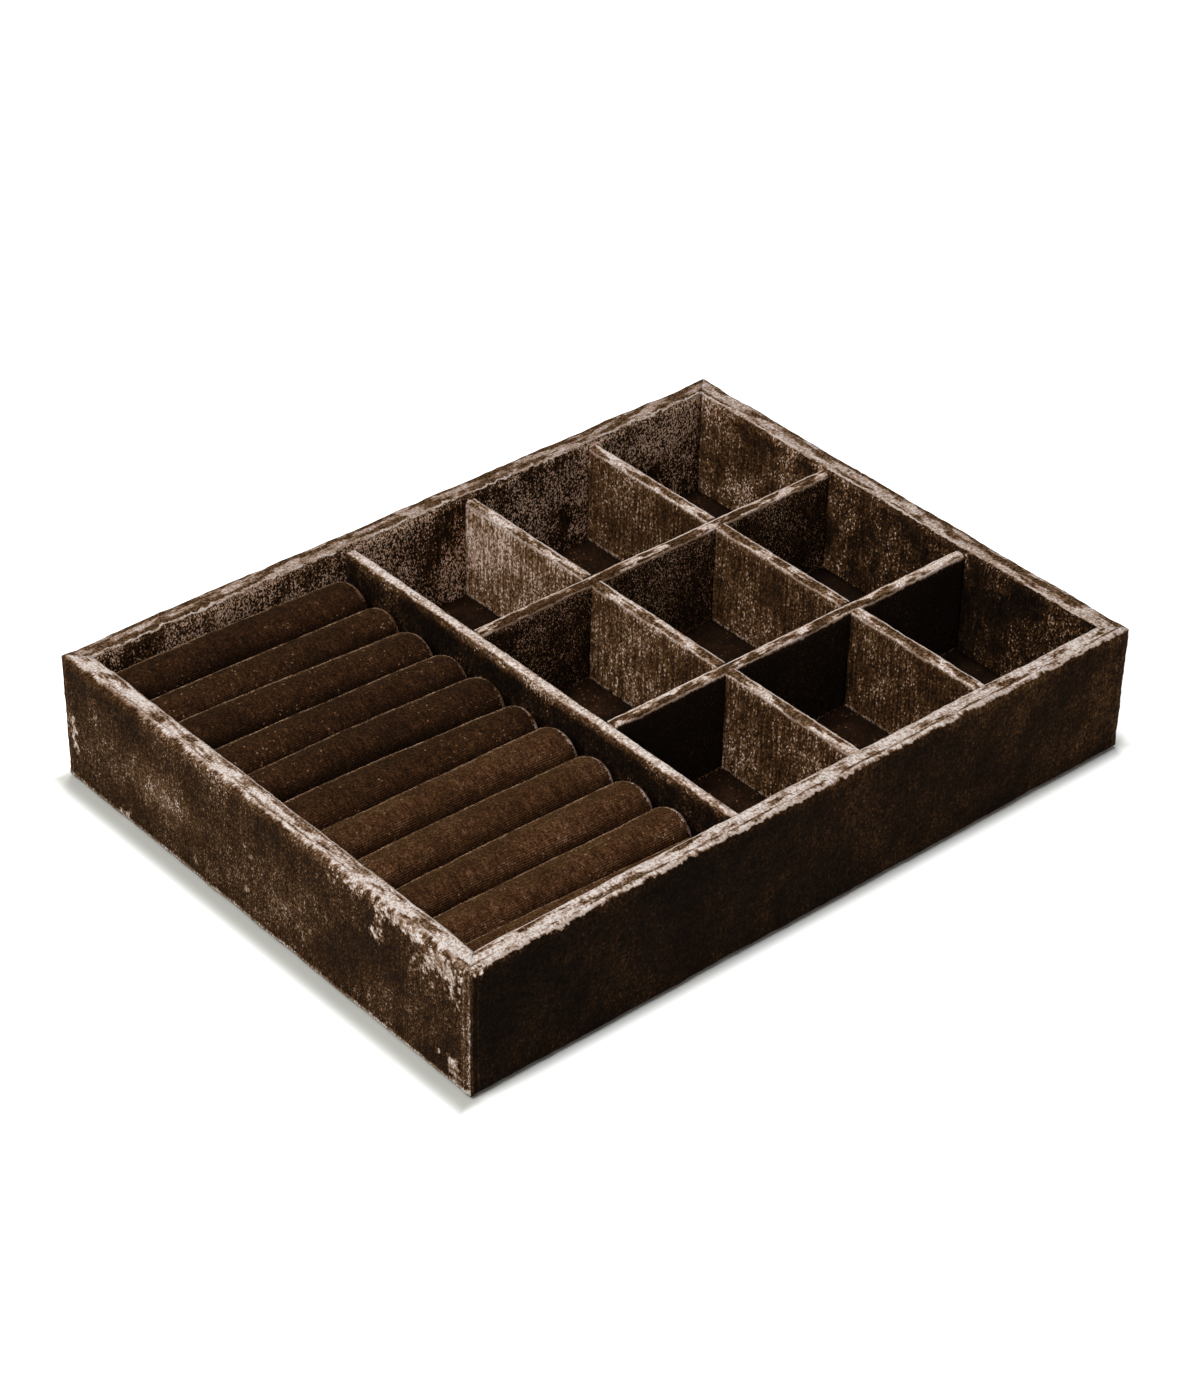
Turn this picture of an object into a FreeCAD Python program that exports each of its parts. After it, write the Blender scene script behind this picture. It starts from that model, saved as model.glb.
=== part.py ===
"""Velvet jewelry tray with a lift-out ring insert and a half-lapped grid of nine compartments.

Millimetres, +Z up. The origin is the middle of the underside: +X runs along the tray's length towards
the compartments, and -Y is the front. Every board is a piece of its own inside the velvet that wraps it.
"""
import FreeCAD, Part
import math
import os
from FreeCAD import Vector

# Overall sizes
tray_length = 300.0
tray_width = 225.0
tray_height = 52.5
corner_radius = 2.6

# Walls: a board in a crushed-velvet wrap that is turned under the base
wall_board = 6.4
wall_velvet = 1.2
wall_edge_radius = 1.0
turn_under = 14.0

# Underside, base and floor
felt_margin = 0.8
felt_inset = 5.0
base_board = 5.0
floor_card = 1.2
floor_velvet = 0.8
floor_clearance = 0.2

# Dividers: a thinner board in velvet
divider_board = 3.2
divider_velvet = 0.9
divider_edge_radius = 0.6
divider_drop = 2.0
divider_clearance = 0.2
lap_clearance = 0.15

# Layout inside the walls: the middle column and the middle row take what is left
ring_bay = 108.4
left_column = 50.9
right_column = 52.8
back_row = 67.1
front_row = 63.4

# Ring insert: velvet sleeves over round-topped foam bars, side by side on a card
roll_pitch = 19.55
narrowest_roll = 6.0
roll_drop = 5.5
roll_velvet = 1.0
roll_gap = 0.3
roll_end_gap = 5.0
sleeve_overhang = 1.0
insert_card = 3.0
insert_clearance = 0.6
insert_seat = 0.3

# Ease between velvet and the piece inside it, and how far a cutting solid runs past what it cuts
wrap_ease = 0.1
cut_past = 2.0

# Heights, from the underside up
wrap_bottom = felt_margin
base_bottom = wrap_bottom + wall_velvet
base_top = base_bottom + base_board
floor_top = base_top + floor_card + floor_velvet
divider_top = tray_height - divider_drop
roll_top = tray_height - roll_drop

# Thicknesses and clear spaces in plan
wall = wall_board + 2 * wall_velvet
divider = divider_board + 2 * divider_velvet
inside_length = tray_length - 2 * wall
inside_width = tray_width - 2 * wall
inside_left = wall - tray_length / 2
main_divider_x = inside_left + ring_bay + divider / 2
cells_left = main_divider_x + divider / 2
cells_right = inside_length / 2
cells_length = cells_right - cells_left

# Middle lines of the dividers that cross each other
short_divider_x = [cells_left + left_column + divider / 2, cells_right - right_column - divider / 2]
long_divider_y = [inside_width / 2 - back_row - divider / 2, front_row + divider / 2 - inside_width / 2]


def block(x_low, x_high, y_low, y_high, z_low, z_high):
    """A square-edged block between two corners."""
    return Part.makeBox(x_high - x_low, y_high - y_low, z_high - z_low, Vector(x_low, y_low, z_low))


def plate(length, width, bottom, top, radius):
    """A flat plate about the origin with its four upright corners rounded."""
    flat = block(-length / 2, length / 2, -width / 2, width / 2, bottom, top)
    upright = [edge for edge in flat.Edges if abs(edge.Vertexes[0].Z - edge.Vertexes[1].Z) > 0.5 * (top - bottom)]
    return flat.makeFillet(radius, upright)


def bar(length, width, bottom, top, radius):
    """A bar along X about the origin, with upright sides and its two long top edges rounded."""
    half = width / 2
    shoulder = top - radius
    turn = radius * (1 - math.sqrt(0.5))
    section = [
        Part.LineSegment(Vector(0, -half, bottom), Vector(0, half, bottom)),
        Part.LineSegment(Vector(0, half, bottom), Vector(0, half, shoulder)),
        Part.Arc(Vector(0, half, shoulder), Vector(0, half - turn, top - turn), Vector(0, half - radius, top)),
        Part.Arc(Vector(0, radius - half, top), Vector(0, turn - half, top - turn), Vector(0, -half, shoulder)),
        Part.LineSegment(Vector(0, -half, shoulder), Vector(0, -half, bottom)),
    ]
    if half > radius:
        section.insert(3, Part.LineSegment(Vector(0, half - radius, top), Vector(0, radius - half, top)))
    face = Part.Face(Part.Wire([line.toShape() for line in section]))
    solid = face.extrude(Vector(length, 0, 0))
    solid.translate(Vector(-length / 2, 0, 0))
    return solid


def placed(solid, turn, x, y):
    """The solid turned about Z by a number of degrees and then moved in plan."""
    copy = solid.copy()
    copy.rotate(Vector(0, 0, 0), Vector(0, 0, 1), turn)
    copy.translate(Vector(x, y, 0))
    return copy


def save(name, solid):
    """Write one piece, which has to be a single valid solid."""
    shape = solid.removeSplitter()
    if len(shape.Solids) != 1 or not shape.isValid():
        raise ValueError("%s came out as %d solids" % (name, len(shape.Solids)))
    shape.Solids[0].exportStep("parts/%s.step" % name)


# Walls

def wall_boards():
    """The front and back boards run the full length, and the side boards stand between them."""
    board_length = tray_length - 2 * wall_velvet
    board_width = tray_width - 2 * wall_velvet
    board_top = tray_height - wall_velvet
    corners = plate(board_length, board_width, base_top, board_top, corner_radius - wall_velvet)
    rounded_ends = placed(bar(board_width, board_length, base_top, board_top, wall_edge_radius), 90, 0, 0)
    carcass = corners.common(rounded_ends)
    long_board = bar(board_length, wall_board, base_top, board_top, wall_edge_radius)
    side_board = bar(board_width - 2 * wall_board, wall_board, base_top, board_top, wall_edge_radius)
    middle = wall_velvet + wall_board / 2
    save("front_wall_board", placed(long_board, 0, 0, middle - tray_width / 2).common(carcass))
    save("back_wall_board", placed(long_board, 180, 0, tray_width / 2 - middle).common(carcass))
    save("left_wall_board", placed(side_board, -90, middle - tray_length / 2, 0))
    save("right_wall_board", placed(side_board, 90, tray_length / 2 - middle, 0))


def wall_wrap(length):
    """Velvet round one wall, its outer face on Y = 0: up the outside, over the rim, down to the base and under it.

    Both ends are mitred, so that four wraps meet at the corners.
    """
    middle = wall / 2
    skin = bar(length, wall, wrap_bottom, tray_height, wall_edge_radius + wall_velvet)
    skin.translate(Vector(0, middle, 0))
    lip = block(-length / 2, length / 2, middle, turn_under, wrap_bottom, base_bottom - wrap_ease)
    board_room = bar(length + cut_past, wall_board + 2 * wrap_ease, base_top - cut_past,
                     tray_height - wall_velvet + wrap_ease, wall_edge_radius + wrap_ease)
    board_room.translate(Vector(0, middle, 0))
    base_room = block(-length, length, wall_velvet - wrap_ease, turn_under + cut_past,
                      base_bottom - wrap_ease, base_top + wrap_ease)
    half = length / 2
    depth = max(turn_under, wall)
    corners = [Vector(-half, 0, 0), Vector(half, 0, 0), Vector(half - depth, depth, 0), Vector(depth - half, depth, 0)]
    mitre = Part.Face(Part.makePolygon(corners + corners[:1])).extrude(Vector(0, 0, tray_height))
    return skin.fuse(lip).cut(board_room).cut(base_room).common(mitre)


def wall_velvets():
    """The four mitred wraps, rounded together at the tray's upright corners."""
    outline = plate(tray_length, tray_width, 0, tray_height, corner_radius)
    long_wrap = wall_wrap(tray_length)
    side_wrap = wall_wrap(tray_width)
    save("front_wall_velvet", placed(long_wrap, 0, 0, -tray_width / 2).common(outline))
    save("back_wall_velvet", placed(long_wrap, 180, 0, tray_width / 2).common(outline))
    save("left_wall_velvet", placed(side_wrap, -90, -tray_length / 2, 0).common(outline))
    save("right_wall_velvet", placed(side_wrap, 90, tray_length / 2, 0).common(outline))


# Base and floor

def base():
    """The base board, and the felt under it, pressed thinner where it covers the turned-under velvet."""
    board_radius = corner_radius - wall_velvet
    save("base_board", plate(tray_length - 2 * wall_velvet, tray_width - 2 * wall_velvet, base_bottom, base_top,
                             board_radius))
    margin = block(felt_inset - tray_length / 2, tray_length / 2 - felt_inset,
                   felt_inset - tray_width / 2, tray_width / 2 - felt_inset, 0, felt_margin)
    pad_edge = turn_under + wrap_ease
    pad = block(pad_edge - tray_length / 2, tray_length / 2 - pad_edge,
                pad_edge - tray_width / 2, tray_width / 2 - pad_edge, 0, base_bottom)
    save("underside_felt", margin.fuse(pad))


def floor():
    """A card covered with plain velvet, laid over the whole inside."""
    half_length = inside_length / 2 - floor_clearance
    half_width = inside_width / 2 - floor_clearance
    card_top = base_top + floor_card
    save("floor_card", block(-half_length, half_length, -half_width, half_width, base_top, card_top))
    save("floor_velvet", block(-half_length, half_length, -half_width, half_width, card_top, floor_top))


# Dividers

def divider_pair(length):
    """A board standing on the floor, and the velvet folded over it down both faces."""
    board = bar(length, divider_board, floor_top, divider_top - divider_velvet, divider_edge_radius)
    velvet = bar(length, divider, floor_top, divider_top, divider_edge_radius + divider_velvet)
    room = bar(length + cut_past, divider_board + 2 * wrap_ease, floor_top - cut_past,
               divider_top - divider_velvet + wrap_ease, divider_edge_radius + wrap_ease)
    return board, velvet.cut(room)


def lap_slots(places, slot_bottom, slot_top):
    """Cutters across a divider, each as wide as the divider that passes through it."""
    half = divider / 2 + lap_clearance
    return [block(x - half, x + half, -divider, divider, slot_bottom, slot_top) for x in places]


def save_divider(name, length, slots, turn, x, y):
    """One divider with its slots, board and velvet as two pieces."""
    board, velvet = divider_pair(length)
    for slot in slots:
        board = board.cut(slot)
        velvet = velvet.cut(slot)
    save(name + "_board", placed(board, turn, x, y))
    save(name + "_velvet", placed(velvet, turn, x, y))


def dividers():
    """The main divider, and the grid: short ones slotted from the top, long ones from below."""
    across = inside_width - 2 * divider_clearance
    along = cells_length - 2 * divider_clearance
    along_x = cells_left + cells_length / 2
    lap = (floor_top + divider_top) / 2
    save_divider("main_divider", across, [], 90, main_divider_x, 0)
    top_slots = lap_slots(long_divider_y, lap, divider_top + cut_past)
    low_slots = lap_slots([x - along_x for x in short_divider_x], floor_top - cut_past, lap + lap_clearance)
    for name, x in zip(("left", "right"), short_divider_x):
        save_divider("short_divider_" + name, across, top_slots, 90, x, 0)
    for name, y in zip(("back", "front"), long_divider_y):
        save_divider("long_divider_" + name, along, low_slots, 0, along_x, y)


# Ring insert

def ring_insert():
    """Foam bars with full round crowns, each in a velvet sleeve, standing on one card that lifts out.

    Full rolls are laid from the back, and a narrow one fills what is left behind the front wall.
    """
    insert_left = inside_left + insert_clearance
    insert_right = inside_left + ring_bay - roll_end_gap
    insert_width = inside_width - 2 * insert_clearance
    card_bottom = floor_top + insert_seat
    card_top = card_bottom + insert_card
    save("ring_insert_card", block(insert_left, insert_right, -insert_width / 2, insert_width / 2,
                                   card_bottom, card_top))
    full_rolls = int(insert_width // roll_pitch)
    shares = [roll_pitch] * full_rolls
    front_share = insert_width - full_rolls * roll_pitch
    if front_share > narrowest_roll:
        shares.append(front_share)
    sleeve_length = insert_right - insert_left
    foam_length = sleeve_length - sleeve_overhang
    back = insert_width / 2
    for n, share in enumerate(shares):
        sleeve_width = share - roll_gap
        foam_width = sleeve_width - 2 * roll_velvet
        room_width = foam_width + 2 * wrap_ease
        foam = bar(foam_length, foam_width, card_top, roll_top - roll_velvet, foam_width / 2)
        sleeve = bar(sleeve_length, sleeve_width, card_top, roll_top, sleeve_width / 2)
        room = bar(sleeve_length + cut_past, room_width, card_top - cut_past,
                   roll_top - roll_velvet + wrap_ease, room_width / 2)
        y = back - share / 2
        back = back - share
        save("ring_roll_%02d_foam" % (n + 1), placed(foam, 0, insert_left + foam_length / 2, y))
        save("ring_roll_%02d_velvet" % (n + 1), placed(sleeve.cut(room), 0, insert_left + sleeve_length / 2, y))


os.makedirs("parts", exist_ok=True)
wall_boards()
wall_velvets()
base()
floor()
dividers()
ring_insert()
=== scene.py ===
# %% [markdown]
# # A velvet jewelry tray
# The real tray is a box of thin boards wrapped in brown crushed velvet. A bay of ring rolls fills its left
# third and a half-lapped grid of dividers makes nine compartments in the rest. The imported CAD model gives
# every board its place. This lesson makes the soft pieces as cloth, in the same frame, and gives every
# surface a finish.

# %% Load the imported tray
import math

import bmesh
import bpy
from mathutils import Matrix, Vector


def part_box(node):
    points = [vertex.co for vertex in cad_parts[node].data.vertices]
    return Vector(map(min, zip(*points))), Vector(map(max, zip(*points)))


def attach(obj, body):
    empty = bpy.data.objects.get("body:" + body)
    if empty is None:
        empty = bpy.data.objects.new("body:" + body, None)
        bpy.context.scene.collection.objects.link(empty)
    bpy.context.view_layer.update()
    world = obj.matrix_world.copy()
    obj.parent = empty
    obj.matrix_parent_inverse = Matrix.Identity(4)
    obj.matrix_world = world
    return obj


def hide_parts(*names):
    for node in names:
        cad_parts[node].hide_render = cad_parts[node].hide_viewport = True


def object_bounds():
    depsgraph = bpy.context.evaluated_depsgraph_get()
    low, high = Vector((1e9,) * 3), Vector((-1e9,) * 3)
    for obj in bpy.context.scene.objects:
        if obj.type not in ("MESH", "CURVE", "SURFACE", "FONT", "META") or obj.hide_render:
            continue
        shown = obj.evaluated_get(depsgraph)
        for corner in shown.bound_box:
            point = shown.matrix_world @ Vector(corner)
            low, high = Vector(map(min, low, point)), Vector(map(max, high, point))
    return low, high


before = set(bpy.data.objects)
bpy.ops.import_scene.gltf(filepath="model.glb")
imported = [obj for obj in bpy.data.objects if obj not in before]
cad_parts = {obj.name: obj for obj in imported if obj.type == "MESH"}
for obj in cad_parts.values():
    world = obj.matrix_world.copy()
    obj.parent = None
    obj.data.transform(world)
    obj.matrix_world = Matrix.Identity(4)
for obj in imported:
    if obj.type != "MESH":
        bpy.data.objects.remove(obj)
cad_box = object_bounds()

print("CAD box", [round(v, 4) for v in cad_box[0]], [round(v, 4) for v in cad_box[1]])

# %% [markdown]
# ## Sizes
# Lengths are metres. What the CAD model can tell is read from its nodes, so that the cloth follows the
# boards. The rest are the few sizes of the cloth itself.

# %% Sizes
tray_length = cad_box[1].x - cad_box[0].x
tray_width = cad_box[1].y - cad_box[0].y
rim = cad_box[1].z
wall = 0.0088
corner_radius = 0.0025
pile_swell = 0.0008
turn_under = 0.014
wrap_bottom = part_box("front_wall_velvet")[0].z
base_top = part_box("base_board")[1].z
floor_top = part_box("floor_velvet")[1].z
divider_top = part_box("main_divider_velvet")[1].z
divider_leg = divider_top - floor_top
lap_height = (floor_top + divider_top) / 2
tiny = 0.0001
cell = 0.0012
print("rim at", round(rim, 4), "dividers at", round(divider_top, 4), "floor at", round(floor_top, 4))

# %% [markdown]
# ## Camera
# The photograph looks down on the near corner. Fitting the tray's corners gives the direction, a slight roll
# and a long lens. The camera's three axes are worked out from the two angles, and then turned by the roll.

# %% Camera
azimuth = math.radians(-41.36)
elevation = math.radians(35.24)
roll = math.radians(1.12)
camera_place = (-0.7068, -0.8034, 0.78306)
focal_length = 95.03
level_share = math.cos(elevation)
back = Vector((math.sin(azimuth) * level_share, -math.cos(azimuth) * level_share, math.sin(elevation)))
right = Vector((math.cos(azimuth), math.sin(azimuth), 0))
up = back.cross(right)
camera_x = right * math.cos(roll) + up * math.sin(roll)
camera_y = up * math.cos(roll) - right * math.sin(roll)
bpy.ops.object.camera_add(location=camera_place)
camera = bpy.context.object
camera.rotation_euler = Matrix((camera_x, camera_y, back)).transposed().to_euler()
camera.data.lens = focal_length
camera.data.sensor_width = 36
bpy.context.scene.camera = camera
print("camera at", [round(v, 3) for v in camera.location])

# %% [markdown]
# ## Finishes as sums
# A finish is a net of nodes. Wrapping a socket in a small class lets the net be written as sums, such as
# 1 - mask, and every other node comes from one method that takes its type, its settings and its sockets.

# %% Sums of sockets
class Wire:
    """An output socket that can be used in sums and can feed new nodes."""

    def __init__(self, tree, socket):
        self.tree = tree
        self.socket = socket

    def node(self, kind, settings, sockets, result=None):
        """Add a node, set it up, then fill its sockets with links or plain values."""
        made = self.tree.nodes.new(kind)
        for name, value in settings.items():
            if name == "stops":
                self.fill_stops(made.color_ramp.elements, value)
            else:
                setattr(made, name, value)
        for name, value in sockets.items():
            entry = next(s for s in made.inputs if s.identifier == name)
            if isinstance(value, Wire):
                self.tree.links.new(value.socket, entry)
            else:
                entry.default_value = value
        outcome = [s for s in made.outputs if result in (None, s.identifier)]
        return Wire(self.tree, outcome[0] if outcome else None)

    def fill_stops(self, elements, stops):
        """Give a colour ramp its stops, each a place from 0 to 1 and a colour."""
        elements.remove(elements[1])
        elements[0].position, elements[0].color = stops[0]
        for position, shade in stops[1:]:
            elements.new(position).color = shade

    def other(self, name):
        """Another output of the same node."""
        return Wire(self.tree, self.socket.node.outputs[name])

    def maths(self, operation, first, second=0.0):
        return self.node("ShaderNodeMath", {"operation": operation}, {"Value": first, "Value_001": second})

    def __add__(self, other):
        return self.maths("ADD", self, other)

    def __radd__(self, other):
        return self.maths("ADD", other, self)

    def __sub__(self, other):
        return self.maths("SUBTRACT", self, other)

    def __rsub__(self, other):
        return self.maths("SUBTRACT", other, self)

    def __mul__(self, other):
        return self.maths("MULTIPLY", self, other)

    def __rmul__(self, other):
        return self.maths("MULTIPLY", other, self)

    def __rpow__(self, other):
        return self.maths("POWER", other, self)

    def __abs__(self):
        return self.maths("ABSOLUTE", self)


print("sums of sockets ready")


# %% Places, patterns and masks
def object_place(start):
    """The place on the piece, in metres."""
    return start.node("ShaderNodeTexCoord", {}, {}, "Object")


def two_ways(place):
    """A place's first two numbers."""
    first = place.node("ShaderNodeSeparateXYZ", {}, {"Vector": place}, "X")
    return first, first.other("Y")


def cloth_place(start):
    """The place on the flat cloth, then its two numbers: along the strip and across it."""
    cloth = start.node("ShaderNodeUVMap", {"uv_map": "cloth"}, {}, "UV")
    return cloth, *two_ways(cloth)


def spread_out(place, stretch, shift):
    """A place with so many pattern steps to a metre in each direction."""
    return place.node("ShaderNodeVectorMath", {"operation": "MULTIPLY_ADD"},
                      {"Vector": place, "Vector_001": stretch, "Vector_002": shift}, "Vector")


def noise(place, stretch, detail=2.0, roughness=0.5, shift=(0.0, 0.0, 0.0), kind="3D"):
    """Soft noise from 0 to 1, with so many grains to a metre in each direction."""
    return place.node("ShaderNodeTexNoise", {"noise_dimensions": kind},
                      {"Vector": spread_out(place, stretch, shift), "Scale": 1.0, "Detail": detail,
                       "Roughness": roughness}, "Fac")


def tufts(place, stretch, shift, kind="2D"):
    """Small cells: two numbers that differ from cell to cell, and the distance to a cell's middle."""
    cells = place.node("ShaderNodeTexVoronoi", {"voronoi_dimensions": kind},
                       {"Vector": spread_out(place, stretch, shift), "Scale": 1.0}, "Color")
    own = place.node("ShaderNodeSeparateColor", {}, {"Color": cells}, "Red")
    return own, own.other("Green"), cells.other("Distance")


def ramp(value, low, high):
    """0 below low, 1 above high, and a smooth rise between them."""
    return value.node("ShaderNodeMapRange", {"interpolation_type": "SMOOTHSTEP"},
                      {"Value": value, "From Min": low, "From Max": high}, "Result")


def band(value, middle, half, core=0.0):
    """1 on a line and over a core of its half width, falling to 0 at the half width on either side."""
    return 1.0 - ramp(abs(value - middle), half * core, half)


def blend(mask, first, second):
    """The first number where the mask is 0, the second where it is 1."""
    return mask.node("ShaderNodeMix", {"data_type": "FLOAT", "clamp_factor": True},
                     {"Factor_Float": mask, "A_Float": first, "B_Float": second}, "Result_Float")


def tint(mask, first, second):
    """The first colour where the mask is 0, the second where it is 1."""
    return mask.node("ShaderNodeMix", {"data_type": "RGBA", "clamp_factor": True},
                     {"Factor_Float": mask, "A_Color": first, "B_Color": second}, "Result_Color")


print("places, patterns and masks ready")


# %% Colours and surfaces
def colour(red, green, blue):
    """A colour given as it looks on a screen, from 0 to 255, as the linear values that sockets take."""
    linear = [(v / 255 / 12.92) if v < 11 else ((v / 255 + 0.055) / 1.055) ** 2.4 for v in (red, green, blue)]
    return (*linear, 1.0)


def new_finish(name):
    """An empty material, and a wire to start its net from."""
    finish = bpy.data.materials.new(name)
    finish.use_nodes = True
    finish.node_tree.nodes.clear()
    return finish, Wire(finish.node_tree, None)


def bumps(start, height, strength, distance):
    """The normal of a surface with small bumps."""
    return start.node("ShaderNodeBump", {}, {"Height": height, "Strength": strength, "Distance": distance},
                      "Normal")


def surface(start, shade, roughness, more):
    """A surface of one shade, with what more it needs."""
    return start.node("ShaderNodeBsdfPrincipled", {}, {"Base Color": shade, "Roughness": roughness, **more},
                      "BSDF")


def close_finish(start, shader):
    """Lead the shader to the material's output."""
    start.node("ShaderNodeOutputMaterial", {}, {"Surface": shader})


print("colour(128, 128, 128) is", [round(v, 3) for v in colour(128, 128, 128)])

# %% [markdown]
# ## Floor and light
# The tray stands on a white floor and throws only a thin soft shadow. The floor is white by its own colour,
# lifted a little for what the camera sees, more with distance from the tray, so that it reads as white and
# keeps only a narrow band of the shadow. Beside the tray's left end a shadow is painted into its colour.

# %% Floor
paper_white = (0.87, 0.88, 0.85, 1.0)
painted_shadow_grey = (0.61, 0.615, 0.57, 1.0)
pure_white = (1.0, 1.0, 1.0, 1.0)
paper_lift = 0.7
side_stretch = 1.6
side_start = 0.002


def seen_rays(start):
    """1 for the rays that make the picture, 0 for those that only carry light."""
    rays = start.node("ShaderNodeLightPath", {}, {}, "Is Camera Ray")
    mirrored = rays.maths("MAXIMUM", rays, rays.other("Is Glossy Ray"))
    return rays.maths("MAXIMUM", mirrored, rays.other("Is Transmission Ray"))


bpy.ops.object.select_all(action="DESELECT")
bpy.ops.mesh.primitive_plane_add(size=8, location=(0, 0, 0))
floor_sheet = bpy.context.object
floor_sheet.name = "studio_floor"
paper, start = new_finish("white paper")
east, north = two_ways(object_place(start))
beyond_ends = abs(east) - tray_length / 2
beyond_sides = (abs(north) - tray_width / 2) * side_stretch + side_start
reach = east.maths("MAXIMUM", beyond_ends, beyond_sides)
lift = seen_rays(start) * ramp(reach, 0.002, 0.013) * paper_lift
# Painted shadow: the floor's colour turns grey close beside the tray's left end.
painted_shadow_mask = (1.0 - ramp(reach, 0.004, 0.010)) * ramp(0.0 - east - tray_length / 2, -0.006, 0.0)
sheet_colour = tint(painted_shadow_mask, paper_white, painted_shadow_grey)
sheet_white = start.node("ShaderNodeBsdfDiffuse", {}, {"Color": sheet_colour}, "BSDF")
sheet_lift = start.node("ShaderNodeEmission", {}, {"Color": pure_white, "Strength": lift}, "Emission")
both = start.node("ShaderNodeAddShader", {}, {"Shader": sheet_white, "Shader_001": sheet_lift}, "Shader")
close_finish(start, both)
floor_sheet.data.materials.append(paper)
print("floor", floor_sheet.name)

# %% Lamps and room
room_light = 0.22


def soft_lamp(name, place, aim, size, power):
    """A square area lamp that points at a place."""
    bpy.ops.object.light_add(type="AREA", location=place)
    lamp = bpy.context.object
    lamp.name = name
    lamp.data.size = size
    lamp.data.energy = power
    lamp.rotation_euler = (Vector(place) - Vector(aim)).to_track_quat("Z", "Y").to_euler()


soft_lamp("key_lamp", place=(-1.1, -0.15, 1.35), aim=(0, 0, 0.02), size=0.9, power=22.0)
soft_lamp("top_lamp", place=(0.2, 0.28, 1.8), aim=(0, 0, 0.02), size=0.35, power=14.0)
world = bpy.data.worlds.new("studio")
bpy.context.scene.world = world
world.use_nodes = True
world.node_tree.nodes.clear()
start = Wire(world.node_tree, None)
strength = room_light + seen_rays(start) * (1 - room_light)
sky = start.node("ShaderNodeBackground", {}, {"Color": pure_white, "Strength": strength}, "Background")
start.node("ShaderNodeOutputWorld", {}, {"Surface": sky})
bpy.context.scene.view_settings.view_transform = "Standard"
print("floor, two lamps and a pale room")

# %% [markdown]
# ## One dye
# All the velvet is dyed one brown. Pile that leans away shows the dark of its depth, pile that leans forward
# shows its pale tips, and the light and shade on the tray darken and lighten it more; every tone between lies
# on one line, from near black over brown to a pinkish grey. So a finish only works out how light each place
# looks, on the screen's scale from 0 to 255, with its light and shade painted in, and one ramp turns that into
# colour. A gain then takes out most of the lamps' own share of that light and shade.

# %% The velvet's dye
dye = ((0, (3, 2, 1)), (8, (13, 8, 5)), (20, (31, 19.5, 11)), (44, (65, 43, 24)), (75, (99, 74, 51)),
       (110, (133, 108, 89)), (150, (170, 147, 132)), (215, (222, 212, 205)))


def dyed(level, gain):
    """The velvet's colour at a level, times a gain that makes up for the light or shade the lamps give a face.
    """
    stops = [(value / 255, colour(*shade)) for value, shade in dye]
    shade = level.node("ShaderNodeValToRGB", {"stops": stops}, {"Fac": level * (1 / 255)}, "Color")
    return level.node("ShaderNodeVectorMath", {"operation": "SCALE"}, {"Vector": shade, "Scale": gain},
                      "Vector")


def uneven(level, patterns, **weights):
    """A level made darker and lighter by patterns about one half: a weight of 1 spans a factor of 4."""
    total = 0.0
    for name, weight in weights.items():
        total = total + (patterns[name] - 0.5) * weight
    return level * 4.0 ** total


print("a dye of", len(dye), "stops")

# %% [markdown]
# ## Crushed velvet
# Crushed velvet is pile pressed over in patches: nearly black where it leans away, pale where it leans
# forward, and open in a ragged pale fringe over each fold. Here the faces also carry a painted share of their
# light or shade, the pale top and the fringes are partly painted sheen, and the folds and corners have
# painted highlights. The pattern lies on the flat cloth, so it reads a map of its own: along the wall, and
# across the cloth from the bottom edge over the fold to the other edge.

# %% Patterns of the crushed pile
def pile_patterns(cloth, seed, grain):
    """The patterns that crushed pile shows on the flat cloth, from single tufts to clouds."""
    shift = (seed * 3.7, seed * 5.3, 0.0)
    tuft, spark, depth = tufts(cloth, (1750 * grain, 1250 * grain, 1), shift)
    return {
        "tuft": tuft,
        "spark": spark,
        "depth": depth,
        "clump": noise(cloth, (420, 330, 1), 3.0, 0.65, shift, "2D"),
        "patch": noise(cloth, (125, 95, 1), 3.0, 0.6, shift, "2D"),
        "cloud": noise(cloth, (36, 28, 1), 2.0, 0.5, shift, "2D"),
        "row": noise(cloth, (900, 60, 1), 2.0, 0.5, shift, "2D"),
        "thread": noise(cloth, (45, 1500, 1), 2.0, 0.55, shift, "2D"),
        "worn": noise(cloth, (75, 240, 1), 3.0, 0.6, shift, "2D"),
    }


def spots_on(along, across, spots):
    """Soft spots on the cloth: each is a middle along and across, two half widths and a strength."""
    total = 0.0
    for u, v, half_u, half_v, strength in spots:
        total = total + band(along, u, half_u) * band(across, v, half_v) * strength
    return total


palest_pile = 210.0
usual_face = {"slope": 0.0, "tuft": 0.8, "clump": 0.3, "patch": 0.5, "cloud": 0.8, "row": 0.2, "even": 0.3}


def face_tone(level, gain, frost, **changes):
    """How one face looks: its level, with that face's light or shade painted in, the gain that makes up for
    the light or shade the lamps give it, and how pale its tips stand out.

    The rest is the usual face with its changes: the level's slope along it, which paints light and shade that
    change along the face, the weight of each pattern, and how evenly the tips lie.
    """
    palest = palest_pile / gain ** (1 / 2.4)
    return {"level": level, "gain": gain, "frost": frost, "palest": palest, **usual_face, **changes}


def top_tone(pale, brown, wear, gain, low, high, bands=()):
    """How the fold on top looks: pale, partly from pile opened over the fold and partly as painted sheen, and
    brown where the pattern of wear passes a mark.

    low and high are the fringes at its two folds: how pale each is, how far inside its fold it lies and how
    ragged it is. A brown band has a distance from the low fold, a half width, a strength and two ends.
    """
    return {"pale": pale, "brown": brown, "wear": wear, "gain": gain, "low": low, "high": high,
            "bands": bands}


print("the usual face", usual_face)

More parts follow.
